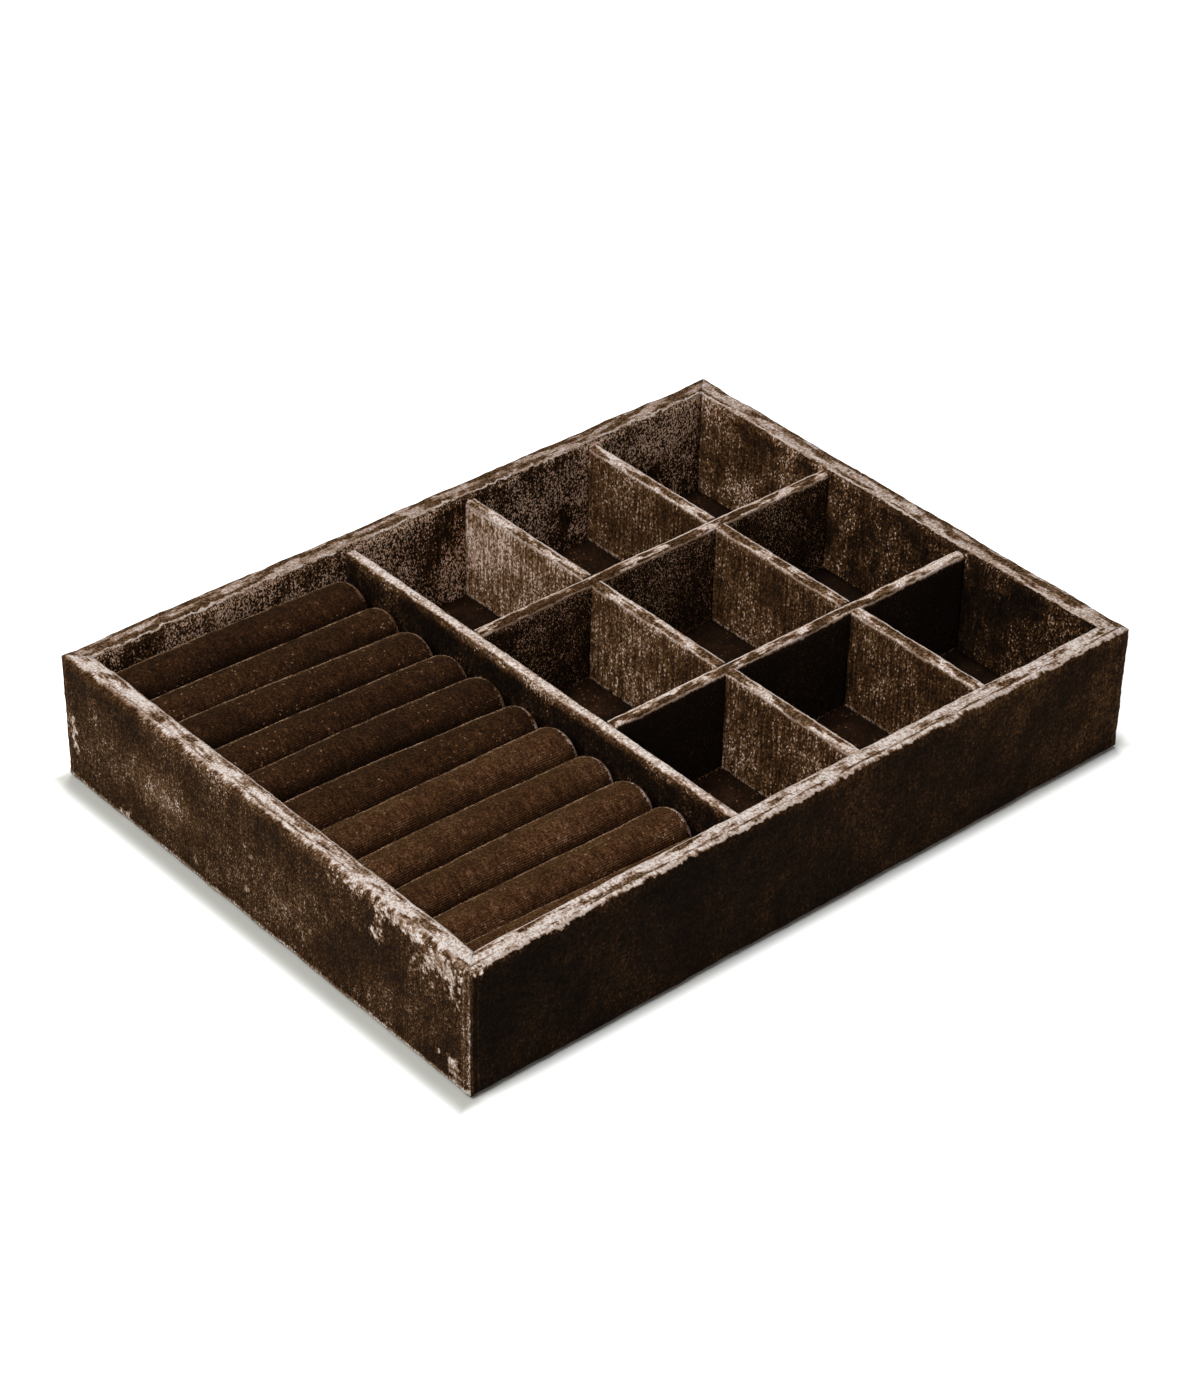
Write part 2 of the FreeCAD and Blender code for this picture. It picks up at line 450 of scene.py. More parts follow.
# %% Tips, pressed spots and the worn top
pressed_level = 140.0
wear_blur = 0.10
worn_from = 0.38
band_fade = 0.008


def tips_on(pile, row, even, frost):
    """How far pale tips stand out: in hazy clouds and streaks, and most in the middle of a tuft."""
    streaks = (pile["row"] - 0.5) * row * 0.6
    hazy = ramp(pile["cloud"] * 0.5 + pile["patch"] * 0.3 + pile["row"] * 0.2 + streaks, 0.32, 0.66)
    hazy = hazy + even * (0.5 - hazy)
    return hazy * pile["spark"] * pile["spark"] * (1.75 - pile["depth"] * 1.4) * frost


def press(level, pile, spots):
    """The level with the pile pressed pale in ragged spots."""
    mask = ramp(spots + (pile["clump"] - 0.5) * 1.3 + (pile["patch"] - 0.5) * 1.9, 0.45, 0.85)
    mask = mask * ramp(spots, 0.0, 0.2)
    return blend(mask, level, uneven(pressed_level, pile, tuft=0.5, clump=1.6))


def crest_on(top, pile, wear, along, across, low_fold):
    """The level on top of the fold: pale pile, worn to brown in patches and along its bands."""
    pale = uneven(top["pale"], pile, tuft=0.4, clump=0.35, thread=0.4)
    brown = uneven(top["brown"], pile, tuft=1.0, clump=0.5)
    crest = blend(ramp(wear, top["wear"] - wear_blur, top["wear"] + wear_blur), pale, brown)
    for offset, half, strength, first, last in top["bands"]:
        begins = ramp(along, first - band_fade, first + band_fade)
        stretch = begins * (1.0 - ramp(along, last - band_fade, last + band_fade))
        line = band(across, low_fold + offset, half, 0.5)
        crest = blend(line * stretch * strength * ramp(wear, worn_from, 0.5), crest, brown)
    return crest


print("bands fade over", 2 * band_fade, "m")

# %% Crushed velvet
fringe_level = 196.0
cut_level = 140.0
ragged_reach = 0.0024
face_change = 0.0005
fold_highlight_reach = 0.005
fold_shine = 0.0025
fringe_half = 0.0008
fringe_core = 0.3
top_edge = 0.0007
unseen_brown = face_tone(26, gain=1.2, frost=0.75, clump=0.5, patch=0.6, even=0.0)


def crushed_velvet(name, seed, top, folds, far_edge, low_face=unseen_brown, high_face=unseen_brown, grain=1.0,
                   sheen=0.02, pressed=(), glows=(), corner=1.0):
    """Velvet folded over a board: a tone for each face with a painted share of its light or shade, a pale top
    and ragged fringes that are partly painted sheen, painted highlights along the folds and beside the
    corners, and pressed spots.

    grain is how much finer its tufts are than usual, folds are its two fold lines, far_edge is its other cut
    edge, and corner is how far from the middle its mitred ends lie.
    """
    finish, start = new_finish(name)
    cloth, along, across = cloth_place(start)
    pile = pile_patterns(cloth, seed, grain)
    ragged = (pile["clump"] - 0.5) * ragged_reach + (pile["patch"] - 0.5) * ragged_reach
    middle = (folds[0] + folds[1]) / 2
    from_fold = abs(across - middle) - (folds[1] - folds[0]) / 2
    on_high = ramp(across, middle - face_change, middle + face_change)

    def by_face(key):
        return low_face[key] + on_high * (high_face[key] - low_face[key])

    weights = {key: by_face(key) for key in ("tuft", "clump", "patch", "cloud", "row")}
    level = uneven(by_face("level"), pile, **weights)
    # Two pale lines beside each mitred corner: partly the seam, partly painted highlight on the curved corner.
    seam_highlights = band(abs(along), corner - 0.0006, 0.0013) * 0.7 + band(abs(along), corner - 0.0034, 0.0007) * 0.4
    frosted = tips_on(pile, by_face("row"), by_face("even"), by_face("frost"))
    # Painted highlight: each face is lightened within a few millimetres of its fold, where the fold catches
    # the light.
    fold_highlight = (1.0 - ramp(from_fold, 0.0, fold_highlight_reach)) * 0.4
    glow = spots_on(along, across, glows)
    # The slope paints light and shade that change along the face.
    level = level * 4.0 ** (along * by_face("slope") + frosted + fold_highlight + seam_highlights + glow)
    level = level.maths("MINIMUM", level, by_face("palest"))
    if pressed:
        level = press(level, pile, spots_on(along, across, pressed))
    wear = pile["worn"] + (pile["thread"] - 0.5) * 0.2 + (pile["clump"] - 0.5) * 0.15
    crest = crest_on(top, pile, wear, along, across + ragged * 0.6, folds[0])
    low_line, in_low, rag_low = top["low"]
    high_line, in_high, rag_high = top["high"]
    starts = folds[0] + in_low
    ends = folds[1] - in_high
    at_low = across + ragged * rag_low
    at_high = across + ragged * rag_high
    past_low = ramp(at_low, starts - top_edge, starts + top_edge)
    on_top = past_low * (1.0 - ramp(at_high, ends - top_edge, ends + top_edge))
    # The pale top is partly pile opened over the fold and partly painted sheen.
    level = blend(on_top, level, crest)
    fringe = band(at_low, starts, fringe_half, fringe_core) * low_line
    fringe = fringe + band(at_high, ends, fringe_half, fringe_core) * high_line
    fringe = fringe * ramp(wear, worn_from, 0.54)
    # The fringe along each fold is partly open pile and partly painted highlight.
    level = blend(fringe, level, fringe_level)
    cut_edge = 1.0 - ramp(across + ragged * 0.3, 0.0003, 0.0014)
    cut_edge = cut_edge + ramp(across + ragged * 0.3, far_edge - 0.0019, far_edge - 0.0006)
    level = blend(cut_edge * ramp(pile["tuft"], 0.2, 0.8), level, cut_level)
    near_top = on_top + fringe + 1.0 - ramp(from_fold, 0.0, fold_shine)
    gain = blend(near_top, by_face("gain"), top["gain"])
    relief = pile["clump"] * 1.2 + pile["patch"] * 0.9 + pile["row"] * 0.3 - pile["depth"] * 0.4
    shader = surface(start, dyed(level, gain), 0.95,
                     {"Normal": bumps(start, relief, 0.5, 0.0007), "Specular IOR Level": 0.02,
                      "Sheen Weight": sheen, "Sheen Roughness": 0.35, "Sheen Tint": (0.75, 0.58, 0.45, 1.0)})
    close_finish(start, shader)
    return finish


print("the unseen face", unseen_brown)

# %% [markdown]
# ## Working on one mesh
# Operators act on whatever is selected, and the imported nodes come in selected. These helpers deselect first,
# pick parts by where they are, and apply the modifiers that ruffle a cloth and give it thickness.

# %% Modelling helpers
def start_piece(name):
    """Name the new primitive, put its size into its mesh and open it for editing."""
    piece = bpy.context.object
    piece.name = name
    piece.data.name = name
    bpy.ops.object.transform_apply(location=True, rotation=True, scale=True)
    bpy.ops.object.mode_set(mode="EDIT")
    return piece


def start_sheet(name, length, width, place):
    """A flat sheet of this size about a place, open for editing."""
    bpy.ops.object.select_all(action="DESELECT")
    bpy.ops.mesh.primitive_plane_add(size=1, calc_uvs=False, location=place)
    bpy.context.object.scale = (length, width, 1)
    return start_piece(name)


def pick(kind, test):
    """Select the vertices, edges or faces that pass a test, and nothing else."""
    bpy.ops.mesh.select_mode(type=kind)
    bpy.ops.mesh.select_all(action="DESELECT")
    mesh = bpy.context.object.data
    cage = bmesh.from_edit_mesh(mesh)
    for part in {"VERT": cage.verts, "EDGE": cage.edges, "FACE": cage.faces}[kind]:
        if test(part):
            part.select_set(True)
    bmesh.update_edit_mesh(mesh)


def pick_edges(test):
    """Select the edges whose two ends pass a test, and nothing else."""
    pick("EDGE", lambda edge: test(edge.verts[0].co, edge.verts[1].co))


def pick_all():
    """Select the whole mesh."""
    bpy.ops.mesh.select_all(action="SELECT")


def extrude(step):
    """Pull what is selected out into new faces."""
    bpy.ops.mesh.extrude_region_move(TRANSFORM_OT_translate={"value": step})


def split(test, length):
    """Cut the picked edges, all about this long, into pieces of one cell."""
    pick_edges(test)
    bpy.ops.mesh.subdivide(number_cuts=max(1, round(length / cell) - 1))


def lay_map(piece, where):
    """Give every corner of the mesh its place on the flat cloth, in metres."""
    mesh = piece.data
    layer = mesh.uv_layers.new(name="cloth")
    for corner in mesh.loops:
        layer.data[corner.index].uv = where(mesh.vertices[corner.vertex_index].co)


def put(piece, turn, x, y):
    """Turn the piece about Z and move it in plan, and keep its place in its mesh."""
    piece.rotation_euler = (0, 0, math.radians(turn))
    piece.location = (x, y, 0)
    bpy.ops.object.transform_apply(location=True, rotation=True, scale=True)


def lumps(name, size, depth):
    """A cloud texture with lumps of one size."""
    texture = bpy.data.textures.new(name, "CLOUDS")
    texture.noise_scale = size
    texture.noise_depth = depth
    return texture


ripple_lumps = lumps("ripple", 0.016, 1)
tuft_lumps = lumps("tuft", 0.0024, 2)


def ruffle(piece, ripple, tuft, thickness):
    """Ruffle the cloth by two heights, thicken it inwards, and apply it all."""
    for texture, height in ((ripple_lumps, ripple), (tuft_lumps, tuft)):
        ruffles = piece.modifiers.new("ruffle", "DISPLACE")
        ruffles.texture = texture
        ruffles.texture_coords = "GLOBAL"
        ruffles.strength = height
        ruffles.mid_level = 0.5
    backing = piece.modifiers.new("backing", "SOLIDIFY")
    backing.thickness = thickness
    backing.offset = -1
    for modifier in list(piece.modifiers):
        bpy.ops.object.modifier_apply(modifier=modifier.name)
    bpy.ops.object.shade_smooth()


def hand_over(piece, node, body, finish):
    """Give the piece its finish, and let it stand for its CAD node."""
    piece.data.materials.clear()
    piece.data.materials.append(finish)
    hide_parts(node)
    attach(piece, body)
    print(piece.name, len(piece.data.polygons), "faces")


print("lumps of", ripple_lumps.noise_scale, "and", tuft_lumps.noise_scale, "m")

# %% [markdown]
# ## Velvet on the walls
# Each wall is wrapped by one strip: it starts under the base, turns up the outside, goes over the rim and
# down to the floor. The wrap could be cut from a block, but folding a flat strip is how it is really made:
# the rim is a plane, its edges are extruded down and under, the folds are bevelled and the ends are mitred.
# Last, the pile of the outer face swells a little, as thick velvet does over a board.

# %% Fold a wall's velvet
wall_fold = 0.0022
outer_leg = rim - wrap_bottom
inner_leg = rim - base_top


def wall_map(co):
    """Across the strip: below 0 under the base, then up the outside, over the rim and down the inside."""
    if co.y < wall_fold and co.z > wrap_bottom + tiny:
        return co.x, co.z - wrap_bottom + co.y * 0.5
    if co.z < wrap_bottom + wall_fold:
        return co.x, -co.y
    return co.x, outer_leg + co.y + (rim - co.z)


def swell(piece, length):
    """Let the pile of the outer face stand proud of the board, and keep the mitred ends closed."""
    for vertex in piece.data.vertices:
        proud = pile_swell * max(0.0, 1 - vertex.co.y / (wall / 2))
        vertex.co.x *= 1 + proud / (length / 2 - vertex.co.y)
        vertex.co.y -= proud


def fold_wall_velvet(name, length, turn, x, y):
    """One strip round a wall that runs along X with its outer face on Y = 0, then turned into its place."""
    piece = start_sheet(name, length, wall, (0, wall / 2, rim))
    pick_edges(lambda a, b: max(a.y, b.y) < tiny)
    extrude((0, 0, -outer_leg))
    pick_edges(lambda a, b: max(a.z, b.z) < wrap_bottom + tiny)
    extrude((0, turn_under, 0))
    pick_edges(lambda a, b: min(a.y, b.y) > wall - tiny and min(a.z, b.z) > rim - tiny)
    extrude((0, 0, -inner_leg))
    pick_edges(lambda a, b: abs(a.x - b.x) > tiny and abs(a.y - b.y) < tiny and (
        (a.z > rim - tiny) or (a.y < tiny and a.z < wrap_bottom + tiny)))
    bpy.ops.mesh.bevel(offset=wall_fold, segments=4, affect="EDGES", clamp_overlap=False)
    for end in (-1, 1):
        pick_all()
        bpy.ops.mesh.bisect(plane_co=(end * length / 2, 0, 0), plane_no=(-end, -1, 0), clear_inner=True)
    split(lambda a, b: abs(a.y - b.y) < tiny and abs(a.z - b.z) < tiny, length)
    split(lambda a, b: abs(a.z - b.z) > 10 * cell, outer_leg)
    split(lambda a, b: abs(a.y - b.y) > 6 * cell and abs(a.z - b.z) < tiny, turn_under - wall_fold)
    split(lambda a, b: abs(a.y - b.y) > 2 * cell and abs(a.z - b.z) < tiny, wall - 2 * wall_fold)
    bpy.ops.object.mode_set(mode="OBJECT")
    lay_map(piece, wall_map)
    swell(piece, length)
    put(piece, turn, x, y)
    return piece


def round_corners(piece):
    """Bring the upright corners of the tray to their radius."""
    for vertex in piece.data.vertices:
        past_x = abs(vertex.co.x) - (tray_length / 2 + pile_swell - corner_radius)
        past_y = abs(vertex.co.y) - (tray_width / 2 + pile_swell - corner_radius)
        reach = math.hypot(max(past_x, 0), max(past_y, 0))
        if past_x > 0 and past_y > 0 and reach > corner_radius:
            vertex.co.x -= math.copysign(past_x * (1 - corner_radius / reach), vertex.co.x)
            vertex.co.y -= math.copysign(past_y * (1 - corner_radius / reach), vertex.co.y)


print("wall legs", round(outer_leg, 4), round(inner_leg, 4))

# %% Tones of the walls
# Each face's level is how light it looks with its light or shade; the gain takes out most of the lamps' share,
# and what is left, such as the darker front, is painted shade. The pale frost on the back wall's inner face,
# which is in shade, is partly painted sheen.
side_brown = face_tone(24.4, gain=0.95, frost=0.85, slope=-0.2, clump=0.5, patch=0.45, cloud=0.55)
front_brown = face_tone(12.4, gain=1.6, frost=0.5, slope=1.5, tuft=0.7, clump=0.4, patch=0.55, row=0.15)
frosted_sheen_brown = face_tone(10.4, gain=3.2, frost=3.9, tuft=0.6, row=0.1, even=0.35)
inner_brown = face_tone(16.5, gain=1.9, frost=1.1, slope=4.5, clump=0.5, patch=0.9, cloud=1.0, row=0.3,
                        even=0.0)
left_pressed = ((0.069, 0.050, 0.034, 0.008, 0.76), (0.097, 0.046, 0.020, 0.014, 0.70),
                (0.064, 0.038, 0.009, 0.007, 0.65), (0.1035, 0.040, 0.009, 0.008, 0.5),
                (0.1035, 0.008, 0.006, 0.010, 0.85), (0.096, 0.010, 0.008, 0.004, 0.65),
                (-0.107, 0.018, 0.008, 0.014, 0.8), (-0.078, 0.002, 0.009, 0.004, 0.8),
                (0.0, 0.026, 0.25, 0.06, 0.12))
left_glows = ((-0.055, 0.024, 0.036, 0.016, 0.6), (0.02, 0.022, 0.03, 0.02, 0.25),
              (0.0, 0.0020, 0.5, 0.0016, 1.0), (0.1105, 0.022, 0.0048, 0.040, 0.33),
              (0.090, 0.0016, 0.050, 0.0016, 0.5))
front_pressed = ((-0.146, 0.0505, 0.012, 0.005, 0.6), (-0.115, 0.0515, 0.022, 0.003, 0.5))
back_glows = ((0.09, 0.075, 0.065, 0.035, 0.4), (-0.056, 0.075, 0.03, 0.04, -0.25))
front_bands = ((0.0022, 0.0010, 0.8, -0.10, 0.16),)
back_bands = ((0.0012, 0.0028, 0.9, -0.2, 0.2), (0.0060, 0.0014, 0.9, -0.2, 0.2))
left_bands = ((0.0066, 0.0022, 0.8, -0.03, 0.06), (0.0022, 0.0008, 0.6, -0.10, 0.05))
right_bands = ((0.0016, 0.0034, 0.9, -0.12, 0.07),)
front_top = top_tone(188, 52, 0.575, 0.88, low=(0.8, 0.0002, 1.0), high=(0.9, 0.0009, 0.3), bands=front_bands)
back_top = top_tone(150, 50, 0.53, 0.85, low=(0.2, 0.0, 0.3), high=(0.9, 0.0009, 1.7), bands=back_bands)
left_top = top_tone(192, 58, 0.58, 0.9, low=(0.3, 0.0006, 1.0), high=(0.9, 0.0009, 0.3), bands=left_bands)
right_top = top_tone(160, 52, 0.56, 0.85, low=(0.2, 0.0, 0.3), high=(0.9, 0.0006, 1.0), bands=right_bands)
wall_cloth = {
    "front": dict(seed=1.0, low_face=front_brown, top=front_top, sheen=0.01, pressed=front_pressed),
    "back": dict(seed=2.0, high_face=frosted_sheen_brown, top=back_top, grain=1.3, glows=back_glows),
    "left": dict(seed=3.0, low_face=side_brown, top=left_top, grain=1.25, pressed=left_pressed,
                 glows=left_glows),
    "right": dict(seed=4.0, high_face=inner_brown, top=right_top),
}
print("cloth for the walls:", ", ".join(wall_cloth))

# %% Wrap the four walls
rim_folds = (outer_leg, outer_leg + wall)
never_shown = outer_leg + wall + inner_leg + 0.01
wall_plan = {
    "front": (tray_length, 0, 0, -tray_width / 2),
    "back": (tray_length, 180, 0, tray_width / 2),
    "left": (tray_width, -90, -tray_length / 2, 0),
    "right": (tray_width, 90, tray_length / 2, 0),
}
for side_name, (length, turn, x, y) in wall_plan.items():
    piece = fold_wall_velvet(side_name + "_wall_wrap", length, turn, x, y)
    round_corners(piece)
    ruffle(piece, ripple=0.0008, tuft=0.0006, thickness=0.0010)
    finish = crushed_velvet("crushed velvet " + side_name, folds=rim_folds, far_edge=never_shown,
                            corner=length / 2, **wall_cloth[side_name])
    hand_over(piece, side_name + "_wall_velvet", "tray", finish)

# %% [markdown]
# ## Velvet on the dividers
# A divider's velvet is a strip folded once over the top of its board. Where two dividers cross they are
# halved into each other: the short ones are slotted from the top and the long ones from below. Slots could
# be cut with a boolean, but bisecting along their sides and deleting the faces between keeps an even grid.

# %% Fold a divider's velvet
divider_fold = 0.0015
slot_clearance = 0.00015


def divider_map(thick, co):
    """Across the strip: up the low face, over the top and down the other face."""
    if co.z < divider_top - divider_fold - tiny:
        across = co.z - floor_top if co.y < 0 else divider_leg + thick + divider_top - co.z
        return co.x, across
    return co.x, divider_leg + thick / 2 + co.y + math.copysign((divider_top - co.z) * 0.9, co.y)


def cut_slots(slots, slot_half, cuts, from_top):
    """Cut the strip along the sides of its slots and at half height, and take out what lies in them."""
    for cut in cuts:
        pick_all()
        bpy.ops.mesh.bisect(plane_co=(cut, 0, 0), plane_no=(1, 0, 0))
    pick_all()
    bpy.ops.mesh.bisect(plane_co=(0, 0, lap_height), plane_no=(0, 0, 1))

    def in_slot(face):
        centre = face.calc_center_median()
        beside = any(abs(centre.x - place) < slot_half for place in slots)
        return beside and (centre.z > lap_height) == from_top

    pick("FACE", in_slot)
    bpy.ops.mesh.delete(type="FACE")


def fold_divider_velvet(name, length, thick, turn, x, y, slots, from_top):
    """A strip over a board that runs along X about the origin, slotted, then turned into its place."""
    piece = start_sheet(name, length, thick, (0, 0, divider_top))
    for side in (-1, 1):
        pick_edges(lambda a, b: min(a.y * side, b.y * side) > thick / 2 - tiny
                   and min(a.z, b.z) > divider_top - tiny)
        extrude((0, 0, -divider_leg))
    pick_edges(lambda a, b: abs(a.x - b.x) > tiny and min(a.z, b.z) > divider_top - tiny)
    bpy.ops.mesh.bevel(offset=divider_fold, segments=3, affect="EDGES", clamp_overlap=False)
    slot_half = thick / 2 + slot_clearance
    cuts = [place + side * slot_half for place in slots for side in (-1, 1)]
    if slots:
        cut_slots(slots, slot_half, cuts, from_top)
    stops = [-length / 2] + sorted(cuts) + [length / 2]
    for low, high in zip(stops[:-1], stops[1:]):
        split(lambda a, b: abs(a.x - b.x) > tiny and low < (a.x + b.x) / 2 < high, high - low)
    split(lambda a, b: abs(a.z - b.z) > 6 * cell, divider_leg / 2 if slots else divider_leg)
    split(lambda a, b: abs(a.y - b.y) > 1.2 * cell and abs(a.z - b.z) < tiny, thick - 2 * divider_fold)
    bpy.ops.object.mode_set(mode="OBJECT")
    lay_map(piece, lambda co: divider_map(thick, co))
    put(piece, turn, x, y)
    return piece


print("divider leg", round(divider_leg, 4))

# %% Tones of the dividers
# The short dividers' left faces, turned to the light, are set lighter as painted light, and the long dividers'
# front faces, turned from it, near black as painted shade; their pale frost is partly painted sheen.
short_back_brown = face_tone(33.5, gain=1.9, frost=0.95, slope=2.4, cloud=0.5, row=0.8)
short_brown = face_tone(26, gain=1.9, frost=0.9, slope=0.7, patch=0.4, cloud=0.4, row=0.8)
main_brown = face_tone(9.0, gain=1.6, frost=0.9, clump=0.5, patch=0.8, cloud=0.9, row=0.1, even=0.0)
deep_shade_brown = face_tone(5.9, gain=3.6, frost=3.1, tuft=0.6, clump=0.15, patch=0.15, cloud=0.3, row=0.1,
                        even=0.7)
darkest_shade_brown = face_tone(2.8, gain=6.0, frost=1.8, tuft=0.6, clump=0.2, patch=0.3, cloud=0.4, even=0.9)
main_glows = ((0.0, 0.0475, 0.15, 0.0045, 1.0),)
short_glows = ((0.095, 0.060, 0.045, 0.024, 0.55),)
short_bands = ((0.0034, 0.0021, 0.92, -0.2, 0.2),)
long_back_bands = ((0.0016, 0.0021, 0.92, -0.2, 0.2),)
long_front_bands = ((0.0016, 0.0021, 0.92, -0.2, 0.045),)
main_top = top_tone(180, 80, 0.64, 0.98, low=(0.3, 0.0, 0.3), high=(0.2, 0.0006, 1.0))
short_fringes = dict(low=(0.95, 0.0009, 0.3), high=(0.55, -0.0010, 0.8), bands=short_bands)
short_left_top = top_tone(172, 54, 0.54, 1.0, **short_fringes)
short_right_top = top_tone(178, 50, 0.54, 1.0, **short_fringes)
long_back_top = top_tone(167, 35, 0.495, 1.1, low=(0.5, -0.0010, 0.8), high=(0.95, 0.0009, 0.3),
                         bands=long_back_bands)
long_front_top = top_tone(178, 40, 0.525, 1.1, low=(0.6, -0.0010, 0.8), high=(0.95, 0.0009, 0.3),
                          bands=long_front_bands)
divider_cloth = {
    "main_divider": dict(seed=5.0, high_face=main_brown, top=main_top, glows=main_glows),
    "short_divider_left": dict(seed=6.0, high_face=short_back_brown, top=short_left_top, glows=short_glows),
    "short_divider_right": dict(seed=7.0, high_face=short_brown, top=short_right_top),
    "long_divider_back": dict(seed=8.0, low_face=deep_shade_brown, top=long_back_top, grain=1.6),
    "long_divider_front": dict(seed=9.0, low_face=darkest_shade_brown, top=long_front_top, grain=1.6),
}
print("cloth for the dividers:", ", ".join(divider_cloth))


# %% Dress the five dividers
def middle_of(node):
    """The middle of a CAD node's box."""
    low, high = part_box(node)
    return (low + high) / 2


short_places = [middle_of("short_divider_%s_velvet" % side).x for side in ("left", "right")]
long_places = [middle_of("long_divider_%s_velvet" % side).y for side in ("back", "front")]
divider_plan = {
    "main_divider": (90, (), True),
    "short_divider_left": (90, long_places, True),
    "short_divider_right": (90, long_places, True),
    "long_divider_back": (0, short_places, False),
    "long_divider_front": (0, short_places, False),
}
for divider_name, (turn, crossings, from_top) in divider_plan.items():
    low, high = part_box(divider_name + "_velvet")
    middle = middle_of(divider_name + "_velvet")
    length = max(high.x - low.x, high.y - low.y)
    thick = min(high.x - low.x, high.y - low.y)
    slots = [place - (middle.y if turn else middle.x) for place in crossings]
    piece = fold_divider_velvet(divider_name + "_wrap", length, thick, turn, middle.x, middle.y, slots,
                                from_top)
    ruffle(piece, ripple=0.0005, tuft=0.0004, thickness=0.0005)
    finish = crushed_velvet("crushed velvet " + divider_name, folds=(divider_leg, divider_leg + thick),
                            far_edge=2 * divider_leg + thick, **divider_cloth[divider_name])
    hand_over(piece, divider_name + "_velvet", "tray", finish)

# %% [markdown]
# ## Plain velvet
# The floor and the ring rolls are covered with a plain velvet: a short dark pile in fine rows, with a few
# pale flecks. The rows follow the cloth, so they read its map too, and the rolls show them as fine lines.
# The rolls also get painted shade down their fronts into the grooves, and a painted sheen of pale tips where
# they are seen edge on.

# %% Rows of the plain pile and its painted edge sheen
row_pitch = 0.0008
row_wander = 0.001
edge_sheen_level = 105.0
edge_sheen_cast = (1.12, 0.93, 0.70)
pile_roughness = 0.94
pile_gloss = 0.02


def cast(shade, by):
    """A shade with a slight cast of colour."""
    return shade.node("ShaderNodeVectorMath", {"operation": "MULTIPLY"}, {"Vector": shade, "Vector_001": by},
                      "Vector")


def rows_on(place, across):
    """The rows of the pile, from 0 to 1, wandering a little."""
    wander = noise(place, (45, 45, 45))
    phase = (across + (wander - 0.5) * row_wander) * (2 * math.pi / row_pitch)
    return phase.maths("SINE", phase) * 0.5 + 0.5


def painted_edge_sheen(start, shader, pile, gain, tips):
    """The pile with a painted sheen of pale tips where the cloth is seen edge on, as along a roll's outline.
    """
    facing = start.node("ShaderNodeLayerWeight", {}, {"Blend": 0.5}, "Facing")
    edge_on = ramp(facing, 0.67, 0.92) * (0.4 + ramp(pile["tuft"], 0.3, 0.9) * 0.6)
    edge_on = edge_on * ramp(pile["mottle"], 0.3, 0.55) * tips
    pale = cast(dyed(uneven(edge_sheen_level, pile, tuft=0.8, mottle=0.6), gain), edge_sheen_cast)
    edge_sheen_pile = surface(start, pale, pile_roughness, {"Specular IOR Level": pile_gloss})
    return start.node("ShaderNodeMixShader", {}, {"Fac": edge_on, "Shader": shader, "Shader_001": edge_sheen_pile},
                      "Shader")


print("pile rows every", row_pitch, "m")

# %% Plain velvet
tick_weight = 0.9
fleck_level = 125.0
fray_level = 185.0
front_cast = (1.09, 0.98, 0.98, 1.0)
front_from = -0.008
front_to = -0.02


def plain_velvet(name, level, front_level, mottle, row_weight, groove, fleck, gain, top_cast, tips=0.0,
                 cut_end=None):
    """Short even pile in rows along the cloth, at another level towards the front, and mottled by use.

    groove is how much painted shade darkens it down the front of a roll, fleck how strong its flecks are,
    tips how strong the painted sheen of its pale tips is where the cloth is seen edge on, and cut_end where
    its raw end lies.
    """
    finish, start = new_finish(name)
    along, across = cloth_place(start)[1:]
    place = object_place(start)
    north = two_ways(place)[1]
    down_front = 0.0 - across
    tuft, spark, depth = tufts(place, (1900, 1900, 1900), (0.0, 0.0, 0.0), "3D")
    pile = {
        "tuft": tuft,
        "mottle": noise(place, (140, 200, 200), 3.0, 0.6),
        "cloud": noise(place, (30, 50, 50)),
        "row": rows_on(place, across),
        "tick": noise(place, (850, 170, 170), 2.0, 0.6),
    }
    ribbed = ramp(down_front, 0.002, 0.010)
    brushed = ramp(down_front, 0.0, 0.003) * (1.0 - ramp(down_front, 0.006, 0.012))
    base = blend(ramp(north, front_to, front_from), front_level, level)
    light = uneven(base, pile, tuft=0.6, mottle=mottle, cloud=mottle, row=ribbed * row_weight,
                   tick=brushed * tick_weight)
    # Painted shade: the roll darkens down its front into the groove, where the next roll shades it.
    light = light * 4.0 ** (ramp(down_front, 0.006, 0.013) * -groove)
    specks = ramp(spark, 0.972, 0.995) * ramp(pile["cloud"] * 0.5 + pile["mottle"] * 0.5, 0.42, 0.6)
    light = blend(specks * fleck, light, fleck_level)
    if cut_end is not None:
        fray = ramp(along + (tuft - 0.5) * 0.0016, cut_end - 0.0018, cut_end - 0.0008)
        # Painted shade: the pale fray is made dimmer on the back rolls.
        fray = fray * ramp(pile["mottle"], 0.3, 0.55) * (1.0 - ramp(north, -0.02, 0.02) * 0.6)
        light = blend(fray, light, fray_level)
    own_cast = tint(ramp(down_front, -0.003, 0.004), top_cast, front_cast)
    relief = pile["row"] * 0.15 + pile["mottle"] * 0.6 - depth * 0.4
    shader = surface(start, cast(dyed(light, gain), own_cast), pile_roughness,
                     {"Normal": bumps(start, relief, 0.5, 0.0004), "Specular IOR Level": pile_gloss})
    # Painted sheen of pale tips where the roll is seen edge on.
    if tips:
        shader = painted_edge_sheen(start, shader, pile, gain, tips)
    close_finish(start, shader)
    return finish


print("the front rolls begin at", front_from, "m")

# %% [markdown]
# ## Floor velvet
# The floor is one flat piece of plain velvet on a card, and every divider stands on it.

